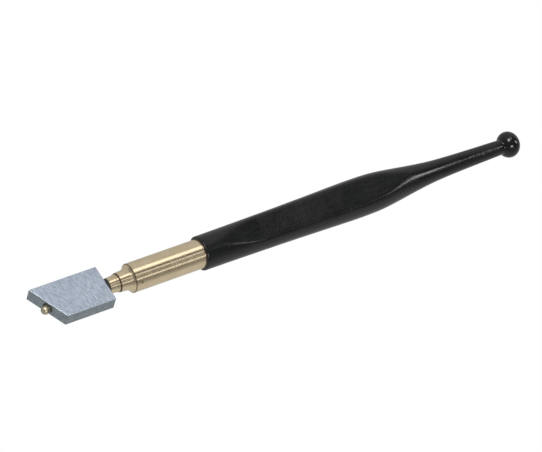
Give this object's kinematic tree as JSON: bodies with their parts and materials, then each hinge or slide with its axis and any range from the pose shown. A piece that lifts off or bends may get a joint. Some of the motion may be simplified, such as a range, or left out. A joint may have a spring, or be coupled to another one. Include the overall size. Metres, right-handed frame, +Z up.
{
  "type": "glass cutter",
  "caption": "Diamond-point glass cutter: slanted steel head that swivels on a spindle in a brass ferrule, on a turned handle with two flats and a ball end.",
  "frame": {"origin": "bottom centre of the whole tool's box as it lies at rest; the tool's axis runs along X at height 5.556 mm", "axes": "+X along the tool's axis from the head to the ball end, +Z up and square to the handle's flats, +Y towards the head's long side"},
  "size_m": [0.1796, 0.0136, 0.0111],
  "materials": {
    "ground_steel": "surface-ground steel with fine lines across the width",
    "solder": "dull dark solder",
    "brass_setting": "filed brass, slightly tarnished",
    "diamond": "natural crystal faces",
    "spindle_steel": "turned steel",
    "black_washer": "black vulcanised fibre",
    "brass": "lathe-turned brass, satin",
    "dark_washer": "dark oiled fibre",
    "spring_steel": "blued spring steel",
    "black_lacquer_wood": "black lacquer, semi-gloss"
  },
  "bodies": {
    "handle": {"handle": "black_lacquer_wood", "tenon_pin": "brass", "ferrule": "brass", "stop_pin": "spindle_steel", "friction_washer": "dark_washer", "thrust_washer": "brass", "spring_washer": "spring_steel"},
    "head": {"head_block": "ground_steel", "solder_ring": "solder", "stone_setting": "brass_setting", "diamond": "diamond", "spindle": "spindle_steel", "seat_washer": "black_washer", "collar": "brass", "spindle_nut": "spindle_steel", "jam_nut": "spindle_steel"}
  },
  "joints": [
    {"name": "head_swivel", "type": "hinge", "parent": "handle", "child": "head", "pos_m": [-0.06206, 0, 0.00556], "axis": [1, 0, 0], "range_deg": [0, 28]}
  ]
}
